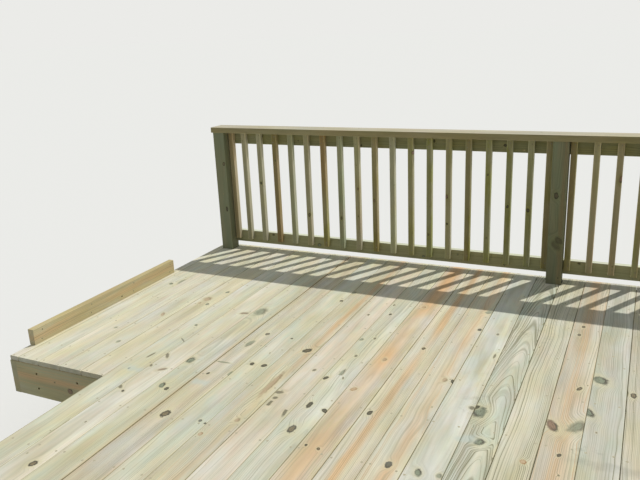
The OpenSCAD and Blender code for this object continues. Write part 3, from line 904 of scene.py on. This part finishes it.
# The looks of the boards that the photograph shows, by node, in the order of their places in it.
# An empty entry is drawn like the rest.
MARKED_BOARDS = {
    "decking_recess": [
        marked(straw=0.2, light=0.7),
        marked(mint=0.35, light=0.7),
        marked(mint=0.3, pink=0.2, light=0.7),
        marked(mint=0.25, light=0.6),
        marked(pink=0.1, straw=0.2, light=0.6),
    ],
    "decking_left": [
        marked(mint=0.40, straw=0.1),
        marked(mint=0.15, pink=0.2, straw=-0.1, bold=0.3, light=0.6),
        # The heartwood streaks at the shared edge of the next two boards also widen the dark line of the
        # gap between them: partly heartwood, partly painted shade of the gap
        marked(mint=0.45, straw=0.5, heart=(0.35, 0.070, 0.014), light=0.25),
        marked(mint=0.1, pink=0.35, straw=0.5, heart=(0.35, -0.070, 0.014), bold=0.8, light=0.15),
        marked(mint=0.50, straw=0.1, light=0.3),
        marked(pink=0.1, straw=0.5, heart=(0.70, 0.036, 0.028), rust=1.0, bold=0.8, light=0.0),
        marked(pink=0.40, straw=-0.1, bold=0.4, light=0.45),
        marked(mint=0.40, bold=0.8),
        marked(pink=0.55, straw=1.0, heart=(1.0, -0.004, 0.074), light=0.15),
        marked(pink=0.2, straw=0.35, heart=(0.85, -0.006, 0.032), bold=0.8, pith=(0.05, 0.3)),
    ],
    "decking_middle": [
        marked(pink=0.1, heart=(0.65, 0.022, 0.040), bold=0.7, rust=1.0),
        marked(mint=0.35, straw=-0.8, bold=0.4, light=0.3),
        marked(mint=0.65, straw=-0.2, bold=3.0, slope=0.036, light=0.15, pith=(0.60, 0.30)),
        marked(mint=0.15, bold=1.4, slope=0.004, light=0.3, pith=(0.02, 0.5)),
        marked(pink=0.35, straw=-0.1, heart=(0.45, 0.0, 0.052), bold=0.9, rust=1.0, slope=0.004,
               light=0.1, pith=(0.95, 0.3)),
        marked(mint=0.45, straw=-0.5, bold=0.9, light=-0.1, pith=(0.9, 0.4)),
        marked(pink=0.15, straw=-0.3, bold=1.4, light=0.0, pith=(0.95, 0.2)),
    ],
    # The top rail is drawn darker as painted shade, for the light on its face
    "top_rail_far": [marked(mint=0.3, straw=0.9, bold=1.0, light=-0.3)],
    "sill_board": [marked(pink=0.4, straw=0.3, heart=(0.5, 0.0, 0.030), bold=0.7)],
    # The bottom rail is drawn lighter as painted light, for the light on its face
    "bottom_rail_far": [marked(straw=0.2, bold=0.9, light=2.2)],
    "balusters_far_left": [
        marked(pink=0.9, heart=(0.5, 0.0, 0.03)),
        marked(pink=0.3),
        marked(),
        marked(pink=0.3, straw=1.0, heart=(1.0, 0.0, 0.08), light=-0.5),
        marked(mint=0.4),
        marked(pink=0.3),
        marked(straw=0.9, heart=(0.9, 0.0, 0.06), light=0.1),
        marked(mint=0.7),
        marked(pink=0.5, straw=-0.3, light=1.1),
        marked(pink=0.3, straw=1.0, heart=(0.5, 0.01, 0.03), light=0.0),
        marked(mint=0.2, straw=-0.8, light=1.4),
        marked(straw=0.5, pink=0.2),
        marked(mint=0.3, straw=1.15, light=0.15),
        marked(pink=0.2, straw=0.3, light=0.7),
        marked(straw=1.15, heart=(0.3, 0.0, 0.03), light=-0.25),
        marked(mint=0.3, straw=0.8, light=0.6),
        marked(mint=0.3, straw=1.2, light=-0.05),
        marked(mint=0.3, straw=0.6, light=0.2),
        marked(pink=0.3, straw=0.9, heart=(0.4, 0.0, 0.03), light=0.3),
    ],
    "balusters_far_right": [
        marked(pink=0.3, straw=0.9, heart=(0.5, 0.0, 0.03), light=0.4),
        {},
        marked(pink=0.7, heart=(0.4, 0.0, 0.03)),
    ],
}

# Where the photograph shows the knots, so that none are drawn there
SEEN_AREA = {
    "decking": ((-2.5, -0.6, 0.0), (0.60, 2.5, 1.0)),
    "balusters": ((-2.5, 2.3, 0.0), (0.60, 2.5, 2.0)),
    "posts": ((-2.5, 2.3, 0.0), (0.60, 2.5, 2.0)),
}
# A knot's tone by its kind, with 1 added for a faint one
KNOT_KINDS = {"dark": 0.02, "umber": 0.14, "brown": 0.36, "grey": 0.60, "red": 0.77, "amber": 0.95,
              "smudge": 1.02, "dim": 1.10, "murk": 1.52, "haze": 1.60, "rose": 1.77, "tan": 1.85}

# Knots that the photograph shows. Each has its x, its y on the deck or its z on the guard, its
# radius, its stretch along the grain, where minus puts its dark side at its other end, its kind
# and its turn. It goes on a board whose middle plane is within the face reach of it.
DECK_TOP, GUARD_LINE = 0.65, 2.39
FACE_REACH = 0.06
SEEN_KNOTS = {
    "decking": [
        (-2.295, 1.535, 0.011, 1.3, "grey", -0.4), (-2.250, 1.590, 0.013, 3, "haze", 0),
        (-2.155, 0.845, 0.008, 1.4, "haze", 0), (-2.020, 1.095, 0.010, 2.2, "tan", -0.5),
        (-2.015, 0.705, 0.009, 1.5, "haze", 0), (-1.915, 1.315, 0.008, 1.6, "tan", 0),
        (-1.905, 1.385, 0.022, 1.3, "tan", -0.3), (-1.860, 1.315, 0.008, 1.6, "grey", 0),
        (-1.850, 1.525, 0.010, 1.5, "grey", 0.2), (-1.750, 0.480, 0.006, 1.6, "dark", 0),
        (-1.740, 0.635, 0.006, 4.5, "dim", 0.1), (-1.740, 1.030, 0.008, 1.3, "grey", -0.3),
        (-1.690, 0.840, 0.004, 7, "dim", -0.9), (-1.665, 0.320, 0.009, 2, "dim", -0.8),
        (-1.665, 0.545, 0.006, 2, "dim", -0.6), (-1.655, 0.660, 0.008, 3.2, "dim", -0.6),
        (-1.625, 0.290, 0.006, 1.6, "dark", -0.6), (-1.585, 0.530, 0.010, 2.2, "rose", 0.8),
        (-1.570, -0.285, 0.014, 1.3, "brown", 0.2), (-1.570, 1.270, 0.012, 1.9, "rose", 1.1),
        (-1.510, 0.660, 0.018, -1.6, "grey", 3.14), (-1.490, 1.320, 0.030, 1.6, "haze", 0),
        (-1.485, 0.400, 0.013, 1.7, "grey", -0.4), (-1.445, 0.380, 0.010, 1.4, "dark", 0),
        (-1.350, 0.575, 0.007, 1.4, "dark", 0), (-1.345, 0.700, 0.006, 6, "haze", 1.5),
        (-1.330, 0.930, 0.014, 2.6, "haze", 0.1), (-1.315, 0.200, 0.018, 1.4, "brown", 0),
        (-1.300, 1.065, 0.011, 1.4, "brown", 0), (-1.250, 0.610, 0.006, 4, "haze", 0),
        (-1.200, 0.735, 0.010, 1.4, "dark", -0.2), (-1.150, 1.060, 0.006, 1.3, "dark", 0),
        (-1.140, 0.210, 0.007, 1.4, "dark", 0), (-1.135, 0.740, 0.012, 1.4, "dark", 0.2),
        (-1.115, 1.630, 0.009, 1.4, "dark", 0), (-1.110, 0.200, 0.005, 1.3, "dark", 0),
        (-1.095, 1.775, 0.013, 1.6, "haze", 0.2), (-1.080, 0.125, 0.010, 1.3, "amber", 0),
        (-1.010, 0.590, 0.013, 9, "tan", 0), (-1.010, 0.960, 0.017, 1.5, "umber", 0.5),
        (-0.995, 0.270, 0.010, 1.5, "tan", 0), (-0.940, 0.540, 0.011, 1.6, "dim", 1.2),
        (-0.935, 0.435, 0.007, 6, "smudge", 0), (-0.935, 0.490, 0.011, 1, "smudge", 0),
        (-0.885, 0.785, 0.008, 1.4, "dim", 0.2), (-0.885, 1.490, 0.006, 1.6, "brown", 0),
        (-0.840, 0.405, 0.007, 5.5, "smudge", -0.2), (-0.835, 0.490, 0.009, 1.6, "dim", 1.3),
        (-0.800, 0.735, 0.010, 1.6, "dark", 0.3),
        (-0.800, 1.175, 0.010, 1.4, "haze", 0.2), (-0.795, 1.670, 0.006, 1.8, "dark", 0),
        (-0.770, 1.535, 0.007, 1.8, "dark", 0.1), (-0.765, 0.490, 0.011, 2, "dark", 0),
        (-0.755, 0.990, 0.007, 1.6, "dim", 0), (-0.750, 0.295, 0.015, 1.9, "brown", 0),
        (-0.750, 0.800, 0.008, 5, "haze", 0), (-0.740, 1.210, 0.006, 1.8, "dim", -0.3),
        (-0.725, 0.760, 0.004, 2.6, "dim", -0.4), (-0.685, 0.470, 0.011, 1.4, "dark", -0.7),
        (-0.645, 0.215, 0.005, 1.4, "dark", -0.3), (-0.640, 0.685, 0.012, 1.4, "amber", 0.5),
        (-0.625, 1.700, 0.011, 1.5, "amber", 0), (-0.610, 1.005, 0.009, 1.9, "tan", 0),
        (-0.590, 0.210, 0.006, 1.4, "brown", -0.4), (-0.500, 0.525, 0.010, 1.8, "dark", 0.1),
        (-0.470, 1.185, 0.009, 1.6, "brown", 0), (-0.305, 0.215, 0.012, 1.6, "dark", 0),
        (-0.285, 0.910, 0.010, 1.8, "tan", 0), (-0.265, 1.745, 0.015, 1.5, "haze", 0.3),
        (-0.260, 1.500, 0.010, 1.4, "dark", 0), (-0.250, 0.910, 0.007, 2.2, "dark", -0.1),
        (-0.245, 1.205, 0.005, 3.4, "dim", 0), (-0.190, 0.210, 0.013, 1.6, "grey", -0.3),
        (-0.160, 1.475, 0.006, 2, "dim", 0), (-0.125, 1.225, 0.005, 4.5, "dim", 0),
        (-0.115, 0.220, 0.010, 1.3, "haze", 0), (-0.115, 0.715, 0.012, 1.2, "dim", 0),
        (-0.100, 0.730, 0.011, 1.5, "dark", 0.6), (-0.080, 0.700, 0.027, 1.55, "grey", 3.14),
        (-0.030, 0.480, 0.017, 1.3, "grey", 0.3), (0.145, 0.415, 0.011, 1.2, "amber", 0),
        (0.210, 0.700, 0.019, -2.1, "red", -0.4), (0.225, 1.610, 0.008, 1.7, "brown", 0),
        (0.235, 1.720, 0.008, 1.9, "brown", 0), (0.260, 0.505, 0.007, 1.5, "dark", 0.3),
        (0.280, 1.040, 0.009, 2, "brown", 0.4), (0.300, 0.725, 0.024, 2, "murk", 0.45),
        (0.330, 0.855, 0.019, 2.1, "grey", -0.55), (0.360, 1.150, 0.027, 1.35, "grey", -0.6),
        (0.495, 1.060, 0.011, 1.9, "brown", -0.1),
    ],
    "posts": [
        (-0.006, 1.205, 0.012, 1.6, "umber", 0), (0.022, 0.930, 0.016, 1.5, "smudge", -0.7),
        (0.006, 0.900, 0.019, 1.6, "smudge", -0.7), (-2.330, 0.960, 0.008, 2.4, "dark", 0),
        (-2.324, 1.300, 0.010, 1.3, "brown", 0),
    ],
    "balusters": [
        (-0.680, 1.145, 0.008, 1.6, "red", 0), (-0.676, 0.965, 0.006, 1.2, "dark", 0),
        (-0.296, 1.105, 0.007, 1.4, "dark", 0.3), (-0.172, 1.090, 0.009, 1.4, "umber", -0.2),
        (0.336, 1.310, 0.011, 1.8, "red", 0.2), (-0.908, 1.420, 0.007, 1.6, "red", 0),
        (-2.052, 1.160, 0.008, 1.2, "dark", 0), (-1.672, 0.950, 0.008, 1.6, "brown", 0.3),
        (-1.294, 1.160, 0.006, 1.6, "red", 0), (-1.424, 0.945, 0.007, 1.6, "brown", 0),
        (-1.178, 1.085, 0.006, 2, "red", 0), (-0.800, 0.880, 0.005, 1.5, "brown", 0),
        (-0.422, 1.300, 0.005, 1.5, "brown", 0), (-1.924, 1.330, 0.005, 1.5, "brown", 0),
    ],
    "rails": [
        (-0.778, 1.495, 0.008, 1.3, "dark", 0), (-0.328, 1.480, 0.008, 1.3, "dark", 0),
        (-0.304, 0.720, 0.010, 1.3, "dark", 0.3),
    ],
}

SLOTS = {entry["node"]: entry["material_slot"] for entry in frame["record"]["subparts"]}
BOARDS = {}
for node_name, slot_name in SLOTS.items():
    if slot_name == "galvanized":
        frame["nodes"][node_name].data.materials.clear()
        frame["nodes"][node_name].data.materials.append(FINISHES[slot_name])
    else:
        BOARDS[node_name] = lumber(node_name, slot_name)


# Fasteners, made by geometry nodes on points that know which way they face

def fastener_group(name, sizes):
    """A geometry tree with inputs for its points, its sizes and its finish."""
    return new_group(name, "Points:geometry, Finish:material, " + sizes, "Geometry:geometry", "Geometry")


def cylinder(g, sides, radius, height):
    return g.add("GeometryNodeMeshCylinder", {"Vertices": sides, "Radius": radius, "Depth": height})


def extruded(g, mesh, top, height):
    return g.add("GeometryNodeExtrudeMesh", {
        "Mesh": mesh, "Selection": top, "Offset Scale": height, "Individual": False}, mode="FACES")


def raised(g, geometry, height):
    return g.add("GeometryNodeTransform", {"Geometry": geometry, "Translation": g.join(z=height)})[0]


def set_on_points(g, get, put, head):
    """Stands one head on each point, turned to face outwards, as a plain mesh."""
    facing = g.add("GeometryNodeInputNamedAttribute", {"Name": "facing"}, data_type="FLOAT_VECTOR")
    turn = g.add("GeometryNodeInputNamedAttribute", {"Name": "turn"}, data_type="FLOAT")
    spin = g.add("FunctionNodeEulerToRotation", [g.join(z=turn["Attribute"])])
    aimed = g.add("FunctionNodeAlignRotationToVector",
                  {"Rotation": spin[0], "Vector": facing["Attribute"]}, axis="Z")
    placed = g.add("GeometryNodeInstanceOnPoints",
                   {"Points": get["Points"], "Instance": head, "Rotation": aimed[0]})
    real = g.add("GeometryNodeRealizeInstances", [placed[0]])
    put["Geometry"] = g.add("GeometryNodeSetMaterial", {"Geometry": real[0], "Material": get["Finish"]})[0]


def screw_group():
    """Flat heads with a driver recess, driven just under the surface."""
    g, get, put = fastener_group(
        "Driven screws", "Head radius, Head height, Recess share, Recess depth, Sides:whole")
    disc = cylinder(g, get["Sides"], get["Head radius"], get["Head height"])
    flat = extruded(g, disc["Mesh"], disc["Top"], 0.0)
    inner = g.add("GeometryNodeScaleElements", {
        "Geometry": flat["Mesh"], "Selection": flat["Top"], "Scale": get["Recess share"]}, domain="FACE")
    sunk = extruded(g, inner[0], flat["Top"], get["Recess depth"] * -1.0)
    set_on_points(g, get, put, sunk["Mesh"])


def head_group():
    """Round heads: a low rim with a domed crown, also used as washers and as the dark rings of crushed
    fibre and painted countersink shade round deck screws.
    """
    g, get, put = fastener_group(
        "Round heads", "Head radius, Rim height, Crown height, Crown share, Sides:whole")
    rim = cylinder(g, get["Sides"], get["Head radius"], get["Rim height"])
    crown = g.add("GeometryNodeMeshCone", {
        "Vertices": get["Sides"], "Radius Bottom": get["Head radius"],
        "Radius Top": get["Head radius"] * get["Crown share"], "Depth": get["Crown height"]})
    both = g.add("GeometryNodeJoinGeometry")
    both[0] = raised(g, rim["Mesh"], get["Rim height"] * 0.5)
    both[0] = raised(g, crown["Mesh"], get["Rim height"])
    set_on_points(g, get, put, both[0])


def nut_group():
    """Hexagon nuts on round washers, with the bolt's end through them."""
    g, get, put = fastener_group(
        "Nuts on washers",
        "Washer radius, Washer height, Nut radius, Nut height, Bolt radius, Bolt height")
    joined = g.add("GeometryNodeJoinGeometry")
    for part, sides in (("Washer", 20), ("Nut", 6), ("Bolt", 12)):
        height = get[part + " height"]
        body = cylinder(g, sides, get[part + " radius"], height)
        joined[0] = raised(g, body["Mesh"], height * 0.5)
    set_on_points(g, get, put, joined[0])


def fasten(name, group, spots, values):
    """Sets a group's heads on spots, each a place and the way it faces, as one piece."""
    random = Random(name)
    mesh = bpy.data.meshes.new(name + "_spots")
    mesh.from_pydata([place for place, facing in spots], [], [])
    set_attribute(mesh, "facing", "POINT", [c for place, facing in spots for c in facing])
    set_attribute(mesh, "turn", "POINT", [random.uniform(0, 2 * pi) for _ in spots], "FLOAT")
    blank = in_scene(name + "_spots", mesh)
    modifier = blank.modifiers.new("Heads", "NODES")
    modifier.node_group = GROUPS[group]
    for socket in GROUPS[group].interface.items_tree:
        if socket.in_out == "INPUT" and socket.name in values:
            modifier[socket.identifier] = values[socket.name]
    keep(baked(blank, name), "galvanized")


screw_group()
head_group()
nut_group()

# Fastener sizes in metres
SCREW = {"Head radius": 0.0040, "Head height": 0.0008, "Recess share": 0.46,
         "Recess depth": 0.0006, "Sides": 10, "Finish": SCREW_METAL}
CRUSHED_AND_SHADED = {"Head radius": 0.0052, "Rim height": 0.00015, "Crown height": 0.00005,
           "Crown share": 0.9, "Sides": 12, "Finish": CRUSH_AND_SHADE}
NAIL = {"Head radius": 0.0038, "Rim height": 0.0004, "Crown height": 0.0005,
        "Crown share": 0.6, "Sides": 10, "Finish": NAIL_METAL}
BOLT_HEAD = {"Head radius": 0.0150, "Rim height": 0.0015, "Crown height": 0.0050,
             "Crown share": 0.45, "Sides": 18, "Finish": BOLT_METAL}
NUT = {"Washer radius": 0.0175, "Washer height": 0.0025, "Nut radius": 0.0110,
       "Nut height": 0.0130, "Bolt radius": 0.0063, "Bolt height": 0.0190, "Finish": BOLT_METAL}

# Where fasteners stand, in metres: deck screws from a board's long edges, how far they stray,
# how near a post none is driven, how wide a board is that has one instead of two, and how far
# past a rim's or a ledger's end boards still bear on it
SCREW_EDGE = 0.020
SCREW_STRAY = 0.010
POST_CLEAR = 0.014
NARROW_BOARD = 0.09
RIM_REACH = 0.04
# Two nails of a baluster, from the middle of the rail and of the baluster, and how far they stray
NAIL_RISE, NAIL_ASIDE = 0.020, 0.006
NAIL_RISE_STRAY, NAIL_ASIDE_STRAY = 0.004, 0.002
# Screws at the posts, from the rail's edges and the post's middle, and through the cap
RAIL_SCREW_EDGE, RAIL_SCREW_ASIDE = 0.024, 0.024
CAP_SCREW_END, CAP_SCREW_ASIDE = 0.045, 0.02
# The run between screws along the cap, and between nails along the beams and the sill board
LONG_RUN = 0.40
# Nails into joist ends from the joist's edges and aside, and through plies from ends and edges
JOIST_NAIL_EDGE, JOIST_NAIL_ASIDE = 0.03, 0.004
PLY_NAIL_END, PLY_NAIL_SHARE, PLY_NAIL_SHIFT = 0.05, 0.22, 0.012
# Nails in a hanger's flanges, from the joist and above its foot, and the sheet's thickness
HANGER_NAIL_ASIDE, HANGER_NAIL_RISES = 0.019, (0.030, 0.065, 0.100)
HANGER_SHEET = 0.0015
# Bolts from the rim's edges, and how far the bolts of a corner post stand off to pass each other
BOLT_RISE, BOLT_PASS = 0.045, 0.022
# Faces this near each other touch
TOUCH = 0.003

UP, OUT_X = Vector((0, 0, 1)), Vector((1, 0, 0))
# Each side of the guard: its long axis, the axis through it, and which way along that is out
SIDES = {"far": (0, 1, 1), "right": (1, 0, 1), "near": (0, 1, -1)}
POSTS_IN = [BOARDS[name][0] for name in BOARDS if name.startswith("post_")]


def end_face(box, axis, way):
    """Where a box ends on an axis, at its high end or its low one."""
    return box[1 if way > 0 else 0][axis]


def facing(axis, way):
    return Vector([float(way) if i == axis else 0.0 for i in range(3)])


def moved(place, *changes):
    """A copy of a place with some of its coordinates set anew, each as an axis and a value."""
    place = place.copy()
    for axis, value in changes:
        place[axis] = value
    return place


def evenly(low, high, inset, spaces):
    """Places at even spaces from one end of a run to the other, kept in from both ends."""
    return [low + inset + (high - low - 2 * inset) * k / spaces for k in range(spaces + 1)]


def on_post(x, y):
    """Whether a spot on the deck falls in a cut round a post."""
    return any(low.x - POST_CLEAR < x < high.x + POST_CLEAR and low.y - POST_CLEAR < y < high.y + POST_CLEAR
               for low, high in POSTS_IN)


def bearers(x):
    """The lines of joist and rim that a deck board at x is screwed to."""
    lines = [centre(box).y for node in ("joists_far", "joists_near") for box in BOARDS[node]
             if box[0].x < x < box[1].x]
    for node in ("rim_far", "rim_near", "ledger_side"):
        box = BOARDS[node][0]
        if box[0].x - RIM_REACH < x < box[1].x + RIM_REACH:
            lines.append(centre(box).y)
    return lines


def deck_screws():
    """Pairs of screws where a deck board crosses a joist or a rim, and single ones if it is narrow."""
    random = Random("deck screws")
    spots = []
    for node in ("decking_recess", "decking_left", "decking_middle", "decking_right"):
        for low, high in BOARDS[node]:
            middle = (low.x + high.x) / 2
            rows = [low.x + SCREW_EDGE, high.x - SCREW_EDGE] if high.x - low.x > NARROW_BOARD else [middle]
            for line in bearers(middle):
                if not low.y < line < high.y:
                    continue
                for row in rows:
                    x = row + random.uniform(-SCREW_STRAY, SCREW_STRAY)
                    y = line + random.uniform(-SCREW_STRAY, SCREW_STRAY)
                    if not on_post(x, y):
                        spots.append((Vector((x, y, high.z)), UP))
    return spots


def guard_nails():
    """Two nails through each baluster into each rail."""
    random = Random("guard nails")
    spots = []
    heights = [centre(BOARDS[rail][0]).z for rail in ("bottom_rail_far", "top_rail_far")]
    for node, boxes in BOARDS.items():
        if not node.startswith("balusters_"):
            continue
        long, through, out = SIDES[node.split("_")[1]]
        for box in boxes:
            middle = centre(box)
            inner = (through, end_face(box, through, -out))
            for height in heights:
                for side in (-1, 1):
                    z = height + side * NAIL_RISE + random.uniform(-NAIL_RISE_STRAY, NAIL_RISE_STRAY)
                    aside = side * NAIL_ASIDE + random.uniform(-NAIL_ASIDE_STRAY, NAIL_ASIDE_STRAY)
                    place = moved(middle, (long, middle[long] + aside), inner, (2, z))
                    spots.append((place, facing(through, -out)))
    return spots


def rail_screws():
    """Pairs of screws through each rail's outer face into the posts behind it."""
    spots = []
    for rail in ("top_rail_", "bottom_rail_"):
        for side, (long, through, out) in SIDES.items():
            box = BOARDS[rail + side][0]
            outer = (through, end_face(box, through, out))
            for post in POSTS_IN:
                if abs(end_face(post, through, out) - end_face(box, through, -out)) > TOUCH:
                    continue
                middle = centre(post)
                for z in evenly(box[0].z, box[1].z, RAIL_SCREW_EDGE, 1):
                    for aside in (-RAIL_SCREW_ASIDE, RAIL_SCREW_ASIDE):
                        place = moved(middle, (long, middle[long] + aside), outer, (2, z))
                        spots.append((place, facing(through, out)))
    return spots


def cap_screws():
    """Screws down through the cap into the posts and, between them, into the top rails."""
    spots = []
    top = BOARDS["cap_far"][0][1].z
    for side, (long, *_) in SIDES.items():
        rail = BOARDS["top_rail_" + side][0]
        spaces = round((rail[1] - rail[0])[long] / LONG_RUN)
        for run in evenly(rail[0][long], rail[1][long], CAP_SCREW_END, spaces):
            spots.append((moved(centre(rail), (long, run), (2, top)), UP))
    for post in POSTS_IN:
        middle = centre(post)
        for aside in (-CAP_SCREW_ASIDE, CAP_SCREW_ASIDE):
            spots.append((Vector((middle.x + aside, middle.y - aside, top)), UP))
    return spots


def framing_nails():
    """Nails through the rims into joists and each other, and through beam plies and the sill board."""
    spots = []
    right = BOARDS["rim_right"][0][1].x
    for node in ("joists_far", "joists_near", "rim_far", "rim_near"):
        lean = JOIST_NAIL_ASIDE if node.startswith("joists") else 0.0
        for box in BOARDS[node]:
            for k, z in enumerate(evenly(box[0].z, box[1].z, JOIST_NAIL_EDGE, 2)):
                spots.append((Vector((right, centre(box).y + (k - 1) * lean, z)), OUT_X))
    for node in ("beam_middle_outer", "beam_right_outer", "sill_board"):
        low, high = BOARDS[node][0]
        x, way = (high.x, OUT_X) if node == "sill_board" else (low.x, -OUT_X)
        edge = (high.z - low.z) * PLY_NAIL_SHARE
        spaces = round((high.y - low.y - 2 * PLY_NAIL_END) / LONG_RUN)
        for y in evenly(low.y, high.y, PLY_NAIL_END, spaces):
            spots.append((Vector((x, y, low.z + edge)), way))
            spots.append((Vector((x, y + PLY_NAIL_SHIFT, high.z - edge)), way))
    return spots


def hanger_nails():
    """Short nails through the joist hangers' flanges into the ledgers."""
    spots = []
    for side, ledger in (("far", "ledger_back"), ("near", "ledger_front")):
        face = BOARDS[ledger][0][1].x
        for low, high in BOARDS["joists_" + side]:
            if abs(low.x - face) > TOUCH:
                continue
            for y in (low.y - HANGER_NAIL_ASIDE, high.y + HANGER_NAIL_ASIDE):
                for rise in HANGER_NAIL_RISES:
                    spots.append((Vector((face + HANGER_SHEET, y, low.z + rise)), OUT_X))
    return spots


def bolt_spots():
    """Bolts that tie the posts to the rims and to the beams: heads on one face, nuts opposite."""
    heads, nuts = [], []

    def bolt(middle, heights, axis, head, nut, out):
        for z in heights:
            heads.append((moved(middle, (axis, head), (2, z)), facing(axis, out)))
            nuts.append((moved(middle, (axis, nut), (2, z)), facing(axis, -out)))

    for post in POSTS_IN:
        middle = centre(post)
        for side in ("far", "near", "right"):
            rim, (_, axis, out) = BOARDS["rim_" + side][0], SIDES[side]
            if abs(end_face(rim, axis, -out) - end_face(post, axis, out)) > TOUCH:
                continue
            rise = BOLT_RISE + (BOLT_PASS if side == "right" else 0.0)
            bolt(middle, evenly(rim[0].z, rim[1].z, rise, 1), axis,
                 end_face(rim, axis, out), end_face(post, axis, -out), out)
        for beam in ("beam_middle_", "beam_right_"):
            inner, outer = BOARDS[beam + "inner"][0], BOARDS[beam + "outer"][0]
            if abs(inner[1].x - post[0].x) > TOUCH:
                continue
            bolt(middle, evenly(outer[0].z, outer[1].z, BOLT_RISE, 1), 0, outer[0].x, post[1].x, -1)
    return heads, nuts


fasten("deck_screws", "Driven screws", deck_screws(), SCREW)
# Dark rings round the deck screws: crushed fibre, and painted shade of their countersinks
fasten("deck_screw_dents", "Round heads", deck_screws(), CRUSHED_AND_SHADED)
fasten("rail_screws", "Driven screws", rail_screws() + cap_screws(), SCREW)
fasten("guard_nails", "Round heads", guard_nails(), NAIL)
fasten("framing_nails", "Round heads", framing_nails() + hanger_nails(), NAIL)
BOLT_HEADS, BOLT_NUTS = bolt_spots()
fasten("bolt_heads", "Round heads", BOLT_HEADS, BOLT_HEAD)
fasten("bolt_nuts", "Nuts on washers", BOLT_NUTS, NUT)


# Stage, lamps and camera

def studio_floor():
    """A pale matt floor under the object, for the stage alone."""
    mesh = bpy.data.meshes.new("studio_floor")
    r = FLOOR_REACH
    mesh.from_pydata([(-r, -r, 0), (r, -r, 0), (r, r, 0), (-r, r, 0)], [], [(0, 1, 2, 3)])
    floor = in_scene("studio_floor", mesh)
    material = bpy.data.materials.new("Studio floor")
    material.use_nodes = True
    shader = material.node_tree.nodes["Principled BSDF"]
    shader.inputs["Base Color"].default_value = (*FLOOR_COLOUR, 1)
    shader.inputs["Roughness"].default_value = 1.0
    shader.inputs["Specular IOR Level"].default_value = 0.0
    mesh.materials.append(material)


def studio_world():
    """Pale surroundings to the camera, and a soft fill on the object."""
    world = bpy.data.worlds.new("Studio")
    world.use_nodes = True
    world.node_tree.nodes.clear()
    g = Graph(world.node_tree)
    fill = g.add("ShaderNodeBackground", {"Color": (*FILL_COLOUR, 1), "Strength": FILL_LEVEL})
    seen = g.add("ShaderNodeBackground", {"Color": (*SEEN_COLOUR, 1), "Strength": 1.0})
    rays = g.add("ShaderNodeLightPath")
    shown = g.most(rays["Is Camera Ray"], rays["Is Glossy Ray"], rays["Is Transmission Ray"])
    both = g.add("ShaderNodeMixShader", [shown, fill[0], seen[0]])
    g.add("ShaderNodeOutputWorld", {"Surface": both[0]})
    bpy.context.scene.world = world


def key_light():
    """One large far lamp with soft-edged shadows."""
    light = bpy.data.lights.new("key", "SUN")
    light.energy = KEY_LEVEL
    light.color = KEY_COLOUR
    light.angle = radians(KEY_SPREAD)
    lamp = in_scene("key", light)
    lamp.location = KEY_PLACE
    lamp.rotation_euler = Vector(KEY_WAY).to_track_quat("-Z", "Y").to_euler()


def camera():
    """The camera at the photograph's place, turned, tilted and rolled as its own was."""
    data = bpy.data.cameras.new("photo_camera")
    data.sensor_width = SENSOR
    data.lens = FOCAL_PIXELS * SENSOR / IMAGE_WIDTH
    data.clip_end = VIEW_END
    view = in_scene("photo_camera", data)
    view.location = CAMERA_PLACE
    turn = Euler((0, 0, radians(CAMERA_TURN))).to_matrix()
    tilt = Euler((radians(90 - CAMERA_TILT), 0, 0)).to_matrix()
    roll = Euler((0, 0, radians(CAMERA_ROLL))).to_matrix()
    view.rotation_euler = (turn @ tilt @ roll).to_euler()
    bpy.context.scene.camera = view


studio_floor()
studio_world()
key_light()
camera()
bpy.context.scene.view_settings.view_transform = "Standard"
